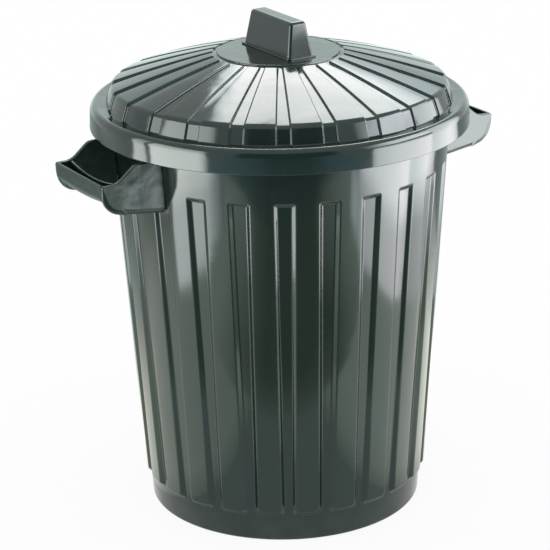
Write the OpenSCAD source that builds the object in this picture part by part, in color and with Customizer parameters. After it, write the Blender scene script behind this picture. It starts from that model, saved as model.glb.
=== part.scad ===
// Round plastic waste bin: a fluted tub, a domed lift-off lid with a block knob, and two side handles.
// Sizes are in millimetres. The bin stands on the floor at z = 0 and its handles lie along X.

/* [Tub] */
// Height of the tub to the top of its rim
tub_h = 553.2; // [520:0.1:600]
// Distance from the outside of the lid in to the neck of the tub
neck_in = 26.2; // [24:0.1:30]
// How much smaller the radius over the flutes is at the floor than at the neck
taper = 34.3; // [28:0.1:42]
// Thickness of the tub wall
wall = 3; // [2:0.1:3.6]
// Flutes round the tub, and round the lid above them
flute_count = 24; // [20:4:24]
// Width of the face of one raised flute on the tub
flute_face = 30; // [24:0.5:31]
// Depth of the channels between the raised flutes
flute_depth = 6; // [4:0.2:7]
// Height at which the raised flutes end above the foot
flute_low = 44; // [36:1:70]
// Height of the smooth band between the channels and the lid
neck_band = 46.3; // [36:0.1:70]
// Radius of the rounded edge at the foot
foot_round = 4; // [2:0.5:8]
// Width of the flat ring that the bin stands on
foot_ring = 14; // [8:1:24]
// Height by which the middle of the base is raised
base_rise = 5; // [2:0.5:8]

/* [Lid] */
// Outer radius of the lid skirt
lid_r = 250; // [236:0.5:264]
// Thickness of the lid wall
lid_wall = 3; // [2.2:0.1:3.4]
// Height of the skirt that hangs over the rim
skirt_h = 28.7; // [24:0.1:36]
// Height of the disc under the knob above the rim of the tub
dome_h = 66.4; // [60:0.2:76]
// Radius of the disc under the knob
disc_r = 80.3; // [76:0.1:88]
// Distance from the outside of the lid in to the turn of the dome
shoulder_in = 34.2; // [33.6:0.1:40]
// Height of that turn above the rim of the tub
shoulder_h = 27.9; // [24:0.1:30]
// Radius of the rounded turn
shoulder_round = 10; // [9.4:0.2:14]
// Outward swell of the dome between disc and shoulder
dome_swell = 1.5; // [0.6:0.1:2.5]
// Slope of the step wall away from upright, in degrees
step_draft = 19; // [10:1:22]
// Depth of the channels in the lid
lid_flute_depth = 3.6; // [3:0.1:4.6]
// Half width of a lid channel at the shoulder
lid_channel = 9.3; // [7:0.1:10.5]
// Play between the rim of the tub and the inside of the skirt
rim_play = 1.5; // [1:0.1:2.5]

/* [Knob] */
// Length of the knob at its foot
knob_l = 113; // [100:1:124]
// Width of the knob at its foot
knob_w = 38; // [32:1:44]
// Length of the flat top of the knob
knob_top_l = 99; // [80:1:99]
// Width of the flat top of the knob
knob_top_w = 22; // [16:1:25]
// Height of the knob above the disc
knob_h = 46.8; // [38:0.2:56]
// Width of the ledge round the foot of the knob
knob_ledge = 3.5; // [3:0.5:6]
// Thickness of the knob wall
knob_wall = 2.8; // [2.2:0.1:3.2]

/* [Handles] */
// Distance by which a handle stands out past the lid
handle_out = 48; // [40:0.5:56]
// Width of a handle over its two arms
handle_w = 132.4; // [124:0.2:136]
// Thickness of a handle arm
arm_t = 6; // [5:0.2:7]
// Distance from the outer face to the inner face of the grip channel
grip_w = 22.7; // [20:0.1:26]
// Thickness of the walls of the grip channel
grip_wall = 3.6; // [3:0.1:4.2]
// Depth of the outer wall of the grip at its ends
grip_h = 22.5; // [20:0.5:26]
// Amount by which the lower edge of the grip bows down in the middle
grip_bow = 4; // [2:0.5:5]
// Radius of the outer lower corner of an arm
arm_round = 29; // [24:1:30]
// Rise of an arm from the top of the grip to the skirt
arm_rise = 21; // [16:0.5:26]
// Depth of an arm below the top of the grip
arm_drop = 47; // [42:1:54]

/* [Hidden] */
// play between parts that sit on each other, and round the clips
seat_gap = 0.3;
clip_gap = 0.4;
eps = 1;
round_fn = 96;
plastic = [0.20, 0.25, 0.24];

pitch = 360 / flute_count;
// radii taken from the outside of the lid
neck_r = lid_r - neck_in;
foot_r = neck_r - taper;
shoulder_r = lid_r - shoulder_in;
handle_reach = lid_r + handle_out;
// levels of the lid, all taken from the rim of the tub
seat_z = tub_h + seat_gap;
flange_t = 2.7;
crest_rise = 3.5;
flange_z = seat_z + flange_t;
crest_z = seat_z + crest_rise;
skirt_z = seat_z - skirt_h;
disc_z = tub_h + dome_h;
// the rounded outer edge of the lid starts at its crest and ends at edge_z, where the skirt begins
crest_in = 9;
edge_drop = 7.5;
skirt_flare = 1;
crest_r = lid_r - crest_in;
edge_z = seat_z - edge_drop;
// slant of the tub wall
lean = atan((neck_r - foot_r) / skirt_z);
function face_r(z) = foot_r + (neck_r - foot_r) * z / skirt_z;
floor_shift = flute_depth / cos(lean);
channel_top = skirt_z - neck_band;
// the sides and the upper ends of the channels slope by flute_slope per depth, the flute ends by end_slope
flute_slope = 5 / 6;
end_slope = 8 / 6;
root_round = 9;
edge_break = 1.2;
// a slanted face moves sideways by this share of the wall when it is carried to the inside
function inside_shift(slope) = sqrt(1 + slope * slope) - slope;
// the rim
rim_r = lid_r - skirt_flare - lid_wall - rim_play;
rim_drop = 14;
rim_round = 7;
// the handles: seat on the tub, heights and clips
arm_gap = 2.3;
arm_top = skirt_z - arm_gap;
grip_top = arm_top - arm_rise;
arm_low = grip_top - arm_drop;
arm_y = handle_w / 2;
arm_root = face_r(arm_low) * cos(2 * pitch);
// bends of an arm: at the grip, at the skirt, and along its underside
knee = [22, 24];
crook = [47, 14];
sole = [5.5, 40];
grip_dip = 7;
pad_low = arm_low + seat_gap;
clip_step = 1.2;
clip_t = arm_t - 2 * clip_step;
clip_rise = 15;
clip_low = arm_low + clip_rise;
clip_h = 36;
clip_catch = 2.6;
clip_root = 13;
clip_tip = 8;
clip_nose = 4;
// the ledge and the legs of the knob
ledge_t = 2;
leg_t = 3;
leg_w = 12;
leg_y = 30;
leg_catch = 1.6;

// Plane curves.
function unit(v) = v / norm(v);
function arc(c, r, from, to, n) =
    [for (i = [0:n]) let (a = from + (to - from) * i / n) c + r * [cos(a), sin(a)]];
// points of a rounded corner at p between its neighbours a and b
function corner(a, p, b, r, n) =
    let (u = unit(a - p), v = unit(b - p), half = acos(u * v) / 2)
    let (c = p + unit(u + v) * r / sin(half), p1 = p + u * r / tan(half), p2 = p + v * r / tan(half))
    let (a1 = atan2(p1[1] - c[1], p1[0] - c[0]), turn = atan2(p2[1] - c[1], p2[0] - c[0]) - a1)
    let (d = turn > 180 ? turn - 360 : turn < -180 ? turn + 360 : turn)
    arc(c, r, a1, a1 + d, n);
// outline whose corners [x, y, radius] are rounded
function rounded(q, n = 5) = [for (i = [0:len(q) - 1])
    let (a = q[(i + len(q) - 1) % len(q)], p = q[i], b = q[(i + 1) % len(q)])
    each p[2] > 0 ? corner([a[0], a[1]], [p[0], p[1]], [b[0], b[1]], p[2], n) : [[p[0], p[1]]]];

module revolve(points) rotate_extrude($fn = round_fn) polygon(points);

// One raised flute, standing a little past the wall on both sides; inset carries it to the inside.
module flute(inset) {
    half = flute_face / 2 - inset * inside_shift(flute_slope);
    low = flute_low + inset * inside_shift(end_slope);
    deep = flute_depth + 2;
    crown = half * half / (2 * foot_r);
    long = channel_top + 80;
    edge_x = -crown - edge_break * sin(atan(1 / flute_slope));
    edge_y = half + edge_break * cos(atan(1 / flute_slope));
    break_slope = tan(90 - atan(1 / flute_slope) / 2);
    out = 0.6;
    translate([foot_r - inset / cos(lean), 0, 0]) rotate([0, lean, 0]) intersection() {
        linear_extrude(long) polygon([
            [-deep, -edge_y - (edge_x + deep) * flute_slope], [edge_x, -edge_y],
            [out, -edge_y + (out - edge_x) * break_slope], [out, edge_y - (out - edge_x) * break_slope],
            [edge_x, edge_y], [-deep, edge_y + (edge_x + deep) * flute_slope]]);
        translate([0, flute_face, 0]) rotate([90, 0, 0]) linear_extrude(2 * flute_face) polygon([
            [-deep, low - (deep - edge_break) * end_slope], [-edge_break, low], [out, low + 3.6],
            [out, long], [-deep, long]]);
        rotate([90, 0, 90]) translate([0, 0, -deep]) linear_extrude(deep + 2) polygon(rounded([
            [-half - flute_depth * flute_slope, low - flute_depth * end_slope + 1, root_round],
            [half + flute_depth * flute_slope, low - flute_depth * end_slope + 1, root_round],
            [half + flute_depth * flute_slope, long + eps, 0],
            [-half - flute_depth * flute_slope, long + eps, 0]], 4));
    }
}

// Flush patch behind a handle, where three channels stop short.
module handle_pad(inset) {
    low = pad_low + inset * inside_shift(flute_slope);
    face = face_r(low) - inset / cos(lean);
    deep = 2 * flute_depth;
    high = channel_top + 20;
    intersection() {
        revolve([[face - deep, low - deep * flute_slope], [face + deep, low + deep * flute_slope],
            [face + deep, high], [face - deep, high]]);
        translate([0, 0, low - 2 * deep]) linear_extrude(high - low + 3 * deep)
            polygon([[0, 0], lid_r * [1, -tan(1.5 * pitch)], lid_r * [1, tan(1.5 * pitch)]]);
    }
}

// Everything outside the channel floors that is cut away from the plain cone.
module channels(inset, low_edge) {
    top = channel_top + inset * inside_shift(flute_slope);
    root = top - flute_depth * flute_slope;
    brk = edge_break;
    difference() {
        revolve(concat(
            low_edge,
            [[face_r(root) - floor_shift - inset / cos(lean), root],
             [face_r(top) - inset / cos(lean) - brk, top - brk * flute_slope],
             [face_r(top) - inset / cos(lean) + 2, top + 0.6],
             [lid_r + 60, top + 0.6], [lid_r + 60, low_edge[0][1]]]));
        for (i = [0:flute_count - 1]) rotate([0, 0, (i + 0.5) * pitch]) flute(inset);
        for (a = [0, 180]) rotate([0, 0, a]) handle_pad(inset);
    }
}

module tub_outside() {
    foot = face_r(foot_round) - floor_shift;
    difference() {
        revolve([[0, 0], [foot_r, 0], [face_r(tub_h - 1.5), tub_h - 1.5], [0, tub_h - 1.5]]);
        channels(0, concat([[foot - foot_round, -eps]],
            arc([foot - foot_round, foot_round], foot_round, -90, 0, 4)));
    }
}

module tub_inside() {
    inset = wall / cos(lean);
    bend = foot_round + 2;
    side = face_r(wall + bend) - floor_shift - inset;
    difference() {
        revolve([[0, wall], [face_r(wall) - inset, wall], [face_r(tub_h + 5) - inset, tub_h + 5],
            [0, tub_h + 5]]);
        channels(wall, concat([[side - bend, wall - eps]],
            arc([side - bend, wall + bend], bend, -90, 0, 4)));
    }
}

module rim() {
    under = tub_h - wall;
    neck = face_r(under) - 1;
    revolve(rounded([
        [neck - 10, under - rim_drop, 0], [neck, under - rim_drop, 0], [neck + 1, under, 4],
        [rim_r - wall, under, rim_round - wall], [rim_r - wall, tub_h - rim_drop, 0],
        [rim_r, tub_h - rim_drop, 0], [rim_r, tub_h, rim_round], [neck - 10, tub_h, 0]], 4));
}

module tub() {
    ring_r = face_r(0) - floor_shift - foot_round - foot_ring;
    run = base_rise * 1.2;
    side = wall * (norm([run, base_rise]) - run) / base_rise;
    color(plastic) difference() {
        union() {
            tub_outside();
            rim();
        }
        difference() {
            tub_inside();
            // raised middle of the base, seen from inside
            revolve([[0, 0], [ring_r + side, 0], [ring_r + side, wall],
                [ring_r + side - run, wall + base_rise], [0, wall + base_rise]]);
        }
        // hollow under the base
        revolve([[0, -eps], [ring_r, -eps], [ring_r, 0], [ring_r - run, base_rise], [0, base_rise]]);
        // slots for the clips of the handles
        for (a = [0, 180], s = [-1, 1]) rotate([0, 0, a])
            translate([arm_root, s * (arm_y - arm_t / 2) - clip_t / 2 - clip_gap,
                clip_low - clip_gap])
                cube([2 * clip_h, clip_t + 2 * clip_gap, clip_h + 2 * clip_gap]);
    }
}

// Middle points and slopes of the lid's section.
land_r = disc_r + 6.7;
land_z = disc_z - 1.2;
chord = [shoulder_r - land_r, tub_h + shoulder_h - land_z];
dome_turn = 4 * atan(2 * dome_swell / norm(chord));
dome_rad = norm(chord) / (2 * sin(dome_turn / 2));
chord_slope = atan(-chord[1] / chord[0]);
slope_out = chord_slope + dome_turn / 2;
dome_mid = [shoulder_r, tub_h + shoulder_h] - dome_rad * [sin(slope_out), cos(slope_out)];
turn_mid = [shoulder_r, tub_h + shoulder_h] - shoulder_round * [sin(slope_out), cos(slope_out)];
step_fillet = 2.5;
// radius of the step wall, carried inwards by depth
function step_r(depth, z) =
    turn_mid[0] + (shoulder_round - depth) / cos(step_draft) + (turn_mid[1] - z) * tan(step_draft);
function dome_start(depth, r) = asin((r - dome_mid[0]) / (dome_rad - depth));
// dome and turn from radius r outwards, carried inwards by depth
function dome(depth, r) = concat(
    arc(dome_mid, dome_rad - depth, 90 - dome_start(depth, r), 90 - slope_out, 3),
    arc(turn_mid, shoulder_round - depth, 90 - slope_out - 14, step_draft, 4));
// foot of the step wall where it meets the flange
function step_foot(depth) = let (z = flange_z + step_fillet)
    arc([step_r(depth, z) + step_fillet / cos(step_draft), z], step_fillet, 180 + step_draft, 270, 3);
// outer edge of the lid, a quarter of an ellipse from the crest down to the skirt
function lid_edge(wide, high) =
    [for (a = [0:15:90]) [crest_r + wide * sin(a), edge_z + high * cos(a)]];
function backwards(q) = [for (i = [len(q) - 1:-1:0]) q[i]];

// Raised lands between the channels of the lid.
module lands(depth, deep, inner_r, foot, channel) {
    top = dome(depth, inner_r);
    difference() {
        revolve(concat(top, foot, backwards(dome(deep, inner_r))));
        for (i = [0:flute_count - 1]) rotate([0, 0, i * pitch]) translate([0, 0, seat_z - 20])
            linear_extrude(dome_h + 40) polygon([for (e = [[land_r - 20, -1], [lid_r, -1], [lid_r, 1],
                [land_r - 20, 1]]) [e[0], e[1] * (channel + (e[0] - shoulder_r) * 0.047)]]);
    }
}

module lid_outside() {
    edge_w = lid_r - skirt_flare - crest_r;
    revolve(concat(
        [[0, seat_z], [0, disc_z]],
        corner([0, disc_z], [disc_r, disc_z], [disc_r + 0.5, seat_z], 0.8, 3),
        dome(lid_flute_depth, disc_r + 0.6), step_foot(lid_flute_depth),
        [[crest_r - 5, flange_z], [crest_r - 2, crest_z - 0.2]],
        lid_edge(edge_w, crest_z - edge_z),
        [[lid_r, skirt_z], [lid_r - lid_wall, skirt_z]],
        backwards(lid_edge(edge_w - lid_wall, seat_z - edge_z))));
    lands(0, lid_flute_depth + 1, land_r,
        concat(step_foot(0), [[step_r(0, flange_z) + 2, flange_z - eps],
            [step_r(lid_flute_depth, flange_z) - 1, flange_z - eps]]), lid_channel);
}

module lid_inside() {
    deep = lid_flute_depth + lid_wall;
    low = seat_z - eps;
    revolve(concat(
        [[0, low], [0, disc_z - lid_wall], [disc_r - lid_wall, disc_z - lid_wall]],
        dome(deep, disc_r - lid_wall + 1), [[step_r(deep, low), low]]));
    lands(lid_wall, deep + 1, land_r + lid_wall,
        [[step_r(lid_wall, low), low], [step_r(deep, low) - 1, low]], lid_channel + lid_wall);
}

module lid() {
    color(plastic) difference() {
        lid_outside();
        lid_inside();
        // slots for the legs of the knob
        for (s = [-1, 1]) translate([0, s * leg_y, disc_z])
            cube([leg_t + 2 * clip_gap, leg_w + 2 * clip_gap, 4 * lid_wall], center = true);
    }
}

// Block with sloping sides; inset gives the hollow inside it.
module knob_block(inset, low, high) {
    r = max(3 - inset / 2, 1);
    hull() {
        for (x = [-1, 1], y = [-1, 1]) {
            translate([x * (knob_w / 2 - r - inset), y * (knob_l / 2 - r - inset), low])
                cylinder(r = r, h = 0.5, $fn = 32);
            translate([x * (knob_top_w / 2 - r - inset + 0.6), y * (knob_top_l / 2 - r - inset + 0.6),
                high - r]) sphere(r = r, $fn = 32);
        }
    }
}

module knob() {
    low = disc_z + seat_gap;
    top = disc_z + knob_h;
    color(plastic) {
        difference() {
            union() {
                knob_block(0, low + ledge_t - 0.5, top);
                translate([0, 0, low]) linear_extrude(ledge_t) polygon(rounded([
                    for (e = [[-1, -1], [1, -1], [1, 1], [-1, 1]])
                        [e[0] * (knob_w / 2 + knob_ledge), e[1] * (knob_l / 2 + knob_ledge), 6]], 6));
            }
            knob_block(knob_wall, low - eps, top - knob_wall);
        }
        // rib across the hollow, ending in two legs that catch under the disc
        translate([-leg_t / 2, -knob_top_l / 2 + 2, low + 4])
            cube([leg_t, knob_top_l - 4, knob_h - knob_wall - 3]);
        for (s = [-1, 1]) translate([0, s * leg_y, 0]) {
            translate([-leg_t / 2, -leg_w / 2, disc_z - lid_wall - 5])
                cube([leg_t, leg_w, lid_wall + 12]);
            translate([0, leg_w / 2, disc_z - lid_wall]) rotate([90, 0, 0]) linear_extrude(leg_w)
                polygon([[-leg_t / 2, -5], [leg_t / 2, -5], [leg_t / 2 + leg_catch, -seat_gap - 1],
                    [leg_t / 2 + leg_catch, -seat_gap], [-leg_t / 2 - leg_catch, -seat_gap],
                    [-leg_t / 2 - leg_catch, -seat_gap - 1]]);
        }
    }
}

// Side view of an arm.
module arm_outline() {
    reach = handle_reach;
    polygon(rounded([
        [arm_root, arm_low - 5, 0],
        [reach - arm_round, arm_low + sole[0], sole[1]],
        [reach, arm_low + sole[0] + 1.5, arm_round],
        [reach, grip_top, 2],
        [reach - knee[0], grip_top, knee[1]],
        [reach - crook[0], arm_top, crook[1]],
        [arm_root, arm_top - 0.5, 0]], 8));
}

module handle() {
    arm_in = arm_y - arm_t;
    low = grip_top - grip_h;
    bow_r = (arm_in * arm_in + grip_bow * grip_bow) / (2 * grip_bow);
    dip_r = (arm_in * arm_in + grip_dip * grip_dip) / (2 * grip_dip);
    // arms, cut to the slant of the tub
    difference() {
        for (s = [-1, 1]) translate([0, s * (arm_y - arm_t / 2) + arm_t / 2, 0])
            rotate([90, 0, 0]) linear_extrude(arm_t) arm_outline();
        revolve([[0, 0], [face_r(0) + seat_gap, 0], [face_r(tub_h) + seat_gap, tub_h], [0, tub_h]]);
    }
    // grip: a channel open at the top, its lower edge bowed
    difference() {
        intersection() {
            translate([0, arm_in + 0.5, 0]) rotate([90, 0, 0]) linear_extrude(2 * arm_in + 1)
                polygon(rounded([
                    [handle_reach, low - grip_bow, 6], [handle_reach, grip_top, 1.6],
                    [handle_reach - grip_wall, grip_top, 1.6],
                    [handle_reach - grip_wall, low + grip_wall, 2],
                    [handle_reach - grip_w + grip_wall, low + grip_wall, 2],
                    [handle_reach - grip_w + grip_wall, grip_top, 1.6],
                    [handle_reach - grip_w, grip_top, 1.6], [handle_reach - grip_w, low - grip_bow, 5]], 4));
            union() {
                translate([handle_reach - 50, -arm_y, low]) cube([60, handle_w, grip_h + 10]);
                translate([handle_reach - 50, 0, low - grip_bow + bow_r]) rotate([0, 90, 0])
                    cylinder(r = bow_r, h = 60, $fn = 180);
            }
        }
        // dip in the top edge of the inner wall
        translate([handle_reach - grip_w - 10, 0, grip_top - grip_dip + dip_r]) rotate([0, 90, 0])
            cylinder(r = dip_r, h = 10 + grip_w / 2, $fn = 180);
    }
    for (s = [-1, 1]) clip(s);
}

// Clip that passes through a slot in the tub wall and catches behind it.
module clip(s) {
    wall_x = sqrt(pow(face_r(clip_low), 2) - pow(arm_y, 2));
    inside = wall / cos(lean) + seat_gap;
    half = clip_t / 2;
    translate([0, s * (arm_y - arm_t / 2), clip_low]) translate([wall_x - clip_root, -half, 0])
        cube([clip_root + clip_tip, clip_t, clip_h]);
    intersection() {
        translate([0, s * (arm_y - arm_t / 2), clip_low]) linear_extrude(clip_h)
            polygon([[wall_x - clip_root, half], [wall_x - clip_root, -half],
                [wall_x - clip_root / 2, -half - clip_catch], [wall_x + clip_nose, -half - clip_catch],
                [wall_x + clip_nose, half + clip_catch], [wall_x - clip_root / 2, half + clip_catch]]);
        revolve([[0, 0], [foot_r - inside, 0], [face_r(tub_h) - inside, tub_h], [0, tub_h]]);
    }
}

module handle_right() color(plastic) handle();
module handle_left() color(plastic) rotate([0, 0, 180]) handle();

tub();
lid();
knob();
handle_left();
handle_right();
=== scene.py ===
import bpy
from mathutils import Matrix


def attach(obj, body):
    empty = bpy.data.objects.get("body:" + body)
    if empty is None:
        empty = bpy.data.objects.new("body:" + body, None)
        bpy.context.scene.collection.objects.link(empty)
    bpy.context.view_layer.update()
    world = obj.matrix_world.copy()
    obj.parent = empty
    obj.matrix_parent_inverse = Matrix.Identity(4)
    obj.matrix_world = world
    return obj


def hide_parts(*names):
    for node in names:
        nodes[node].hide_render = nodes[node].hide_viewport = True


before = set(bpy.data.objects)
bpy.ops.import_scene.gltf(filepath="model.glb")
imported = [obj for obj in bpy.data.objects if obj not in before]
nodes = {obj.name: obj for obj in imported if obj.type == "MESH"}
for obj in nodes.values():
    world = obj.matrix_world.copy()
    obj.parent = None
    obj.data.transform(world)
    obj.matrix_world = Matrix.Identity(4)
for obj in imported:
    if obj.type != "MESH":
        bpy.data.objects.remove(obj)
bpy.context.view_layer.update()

import math
import bmesh
import bpy
from mathutils import Matrix, Vector

scene = bpy.context.scene
mm = 0.001
slack = 0.1  # how closely a height or radius is matched when parts of a mesh are selected, in mm

camera = {  # focal length in pixels, angles in degrees, place in metres
    "pixels": 550, "focal": 2320.2, "turn": -31.0, "tilt": 19.74, "roll": -1.0,
    "place": (-0.00955, -2.9498, 1.3657), "sensor": 36, "reach": (0.1, 100),
}
facePhoto = Matrix.Rotation(math.radians(camera["turn"]), 4, "Z")


def placeCamera():
    tilt, roll = math.radians(camera["tilt"]), math.radians(camera["roll"])
    ahead = Vector((0, math.cos(tilt), -math.sin(tilt)))
    side, rise = Vector((1, 0, 0)), Vector((0, math.sin(tilt), math.cos(tilt)))
    across = side * math.cos(roll) + rise * math.sin(roll)
    upward = rise * math.cos(roll) - side * math.sin(roll)
    stand = Matrix((across, upward, -ahead)).transposed().to_4x4()
    stand.translation = Vector(camera["place"])
    data = bpy.data.cameras.new("camera")
    data.sensor_width = camera["sensor"]
    data.lens = data.sensor_width * camera["focal"] / camera["pixels"]
    data.clip_start, data.clip_end = camera["reach"]
    seen = bpy.data.objects.new("camera", data)
    scene.collection.objects.link(seen)
    seen.matrix_world = facePhoto @ stand
    scene.camera = seen


def addPiece(name, primitive, **place):
    bpy.ops.object.select_all(action="DESELECT")
    primitive(**place)
    piece = bpy.context.object
    piece.name = piece.data.name = name
    return piece


def openMesh(piece, mode="FACE"):
    bpy.context.view_layer.objects.active = piece
    bpy.ops.object.mode_set(mode="EDIT")
    bpy.ops.mesh.select_mode(type=mode)
    bpy.ops.mesh.select_all(action="DESELECT")


def closeMesh():
    bpy.ops.object.mode_set(mode="OBJECT")


# Selects those faces, edges or points of an open mesh whose test is true, and nothing else.
def pickParts(piece, kind, test):
    bpy.ops.mesh.select_mode(type=kind)
    bpy.ops.mesh.select_all(action="DESELECT")
    mesh = bmesh.from_edit_mesh(piece.data)
    for part in {"FACE": mesh.faces, "EDGE": mesh.edges, "VERT": mesh.verts}[kind]:
        if test(part):
            part.select_set(True)
    if kind == "VERT":
        mesh.select_flush(True)
    bmesh.update_edit_mesh(piece.data)


def pickFaces(piece, test):
    pickParts(piece, "FACE", lambda face: test(face.calc_center_median()))


def pickEdges(piece, test):
    pickParts(piece, "EDGE", lambda edge: test(edge.verts[0].co, edge.verts[1].co))


def pickPoints(piece, test):
    pickParts(piece, "VERT", lambda vert: test(vert.co))


def selectOnly(piece):
    bpy.ops.object.select_all(action="DESELECT")
    piece.select_set(True)
    bpy.context.view_layer.objects.active = piece


def applyPlace():
    bpy.ops.object.transform_apply(location=True, rotation=True, scale=True)


# Line of vertices through (x, z) points.
def tracePath(name, points):
    (r, z), rest = points[0], points[1:]
    piece = addPiece(name, bpy.ops.mesh.primitive_plane_add, size=mm, location=(r * mm, 0, z * mm))
    openMesh(piece, "VERT")
    bpy.ops.mesh.select_all(action="SELECT")
    bpy.ops.mesh.merge(type="CENTER")
    for nextR, nextZ in rest:
        step = ((nextR - r) * mm, 0, (nextZ - z) * mm)
        bpy.ops.mesh.extrude_region_move(TRANSFORM_OT_translate={"value": step})
        r, z = nextR, nextZ
    closeMesh()
    applyPlace()
    return piece


# Full turn of a line about the middle of the bin, with its seam and pole closed.
def spinPath(piece, steps, seam):
    openMesh(piece, "VERT")
    bpy.ops.mesh.select_all(action="SELECT")
    bpy.ops.mesh.spin(steps=steps, angle=2 * math.pi, center=(0, 0, 0), axis=(0, 0, 1))
    bpy.ops.mesh.select_all(action="SELECT")
    bpy.ops.mesh.remove_doubles(threshold=seam * mm)
    closeMesh()


# Normals outward: the test is true for the centre and normal of most faces that already point that way.
def turnOutward(piece, test):
    openMesh(piece)
    bpy.ops.mesh.select_all(action="SELECT")
    bpy.ops.mesh.normals_make_consistent(inside=False)
    mesh = bmesh.from_edit_mesh(piece.data)
    good = sum(1 if test(face.calc_center_median(), face.normal) else -1 for face in mesh.faces)
    if good < 0:
        bpy.ops.mesh.flip_normals()
    closeMesh()


# Steps of a rounded edge, the angle in degrees from which an edge is rounded, and how far large faces lead.
finish = {"segments": 3, "fold": 30, "weight": 50}


# Wall, rounded edges, cuts and shading of a piece, in this order. Edges over the sharp angle stay crisp.
def finishMesh(piece, sharp, wall=0, bevel=0, cutters=()):
    selectOnly(piece)
    bpy.ops.object.shade_smooth()
    if wall:
        shell = piece.modifiers.new("wall", "SOLIDIFY")
        shell.thickness, shell.offset = wall * mm, -1
        shell.use_even_offset, shell.use_quality_normals = True, True
        bpy.ops.object.modifier_apply(modifier="wall")
    if bevel:
        edges = piece.modifiers.new("edges", "BEVEL")
        edges.width, edges.segments = bevel * mm, finish["segments"]
        edges.limit_method, edges.angle_limit = "ANGLE", math.radians(finish["fold"])
        edges.use_clamp_overlap = True
        edges.miter_outer = "MITER_ARC"
        bpy.ops.object.modifier_apply(modifier="edges")
    for cutter in cutters:
        cutAway(piece, cutter)
    selectOnly(piece)
    bpy.ops.object.shade_smooth_by_angle(angle=math.radians(sharp))
    weigh = piece.modifiers.new("shading", "WEIGHTED_NORMAL")
    weigh.keep_sharp, weigh.weight = True, finish["weight"]
    bpy.ops.object.modifier_apply(modifier="shading")


# Boolean of a piece with a cutter, which is used up.
def cutAway(piece, cutter, operation="DIFFERENCE"):
    bpy.ops.object.select_all(action="DESELECT")
    bpy.context.view_layer.objects.active = piece
    cut = piece.modifiers.new("cut", "BOOLEAN")
    cut.operation, cut.solver, cut.object = operation, "EXACT", cutter
    bpy.ops.object.modifier_apply(modifier="cut")
    bpy.data.objects.remove(cutter)


def addBlock(name, centre, size):
    block = addPiece(name, bpy.ops.mesh.primitive_cube_add, size=1, location=[v * mm for v in centre])
    block.scale = [v * mm for v in size]
    applyPlace()
    return block


# Points of an outline whose corners (x, z, radius) are rounded.
def roundCorners(corners, steps):
    outline = []
    for i, (x, z, radius) in enumerate(corners):
        if not radius:
            outline.append((x, z))
            continue
        here = Vector((x, z))
        back = (Vector(corners[i - 1][:2]) - here).normalized()
        ahead = (Vector(corners[(i + 1) % len(corners)][:2]) - here).normalized()
        half = back.angle(ahead) / 2
        middle = here + (back + ahead).normalized() * radius / math.sin(half)
        first = here + back * radius / math.tan(half) - middle
        last = here + ahead * radius / math.tan(half) - middle
        start = math.degrees(math.atan2(first.y, first.x))
        turn = (math.degrees(math.atan2(last.y, last.x)) - start + 180) % 360 - 180
        outline += arcPoints(middle, radius, start, start + turn, steps)
    return outline


# Solid with an (x, z) outline, swept along y in even steps.
def sweepOutline(name, outline, start, end, steps=1):
    piece = tracePath(name, outline)
    openMesh(piece, "VERT")
    bpy.ops.mesh.select_all(action="SELECT")
    bpy.ops.mesh.edge_face_add()
    bpy.ops.transform.translate(value=(0, start * mm, 0))
    for _ in range(steps):
        bpy.ops.mesh.extrude_region_move(TRANSFORM_OT_translate={"value": (0, (end - start) / steps * mm, 0)})
    bpy.ops.mesh.select_all(action="SELECT")
    bpy.ops.mesh.normals_make_consistent(inside=False)
    closeMesh()
    return piece


def arcPoints(centre, radius, start, end, count):
    return [(centre[0] + radius * math.cos(math.radians(start + (end - start) * i / count)),
             centre[1] + radius * math.sin(math.radians(start + (end - start) * i / count)))
            for i in range(count + 1)]


# Radius, angle and height of a point, in mm and degrees.
def polar(point):
    return math.hypot(point.x, point.y) / mm, math.degrees(math.atan2(point.y, point.x)), point.z / mm


lid = {  # lengths in mm, angles in degrees
    "around": 144, "seam": 0.02, "pitch": 15, "channel": 2.5, "narrow": 0.1, "depth": 2.6, "draft": 0.7,
    "discR": 80.5, "discZ": 619.6, "flatStep": 20, "landR": 87, "landZ": 618.4, "shoulder": (215.8, 581.1),
    "swell": 1.5, "domeSteps": 8, "turn": 10, "turnSteps": 6, "step": 19, "flange": 556.2, "flangeEnd": 6,
    "brink": (3, 0.35), "crest": (241, 557), "edgeZ": 546, "edge": (8, 11), "edgeStep": 10,
    "skirt": (250, 524.8), "wall": 3, "bevel": 1.2, "sharp": 50, "looksUp": 560, "channelFoot": (553, 557.5),
    "slot": {"aside": 30, "across": 3.8, "along": 12.8, "deep": 12},
}


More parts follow.
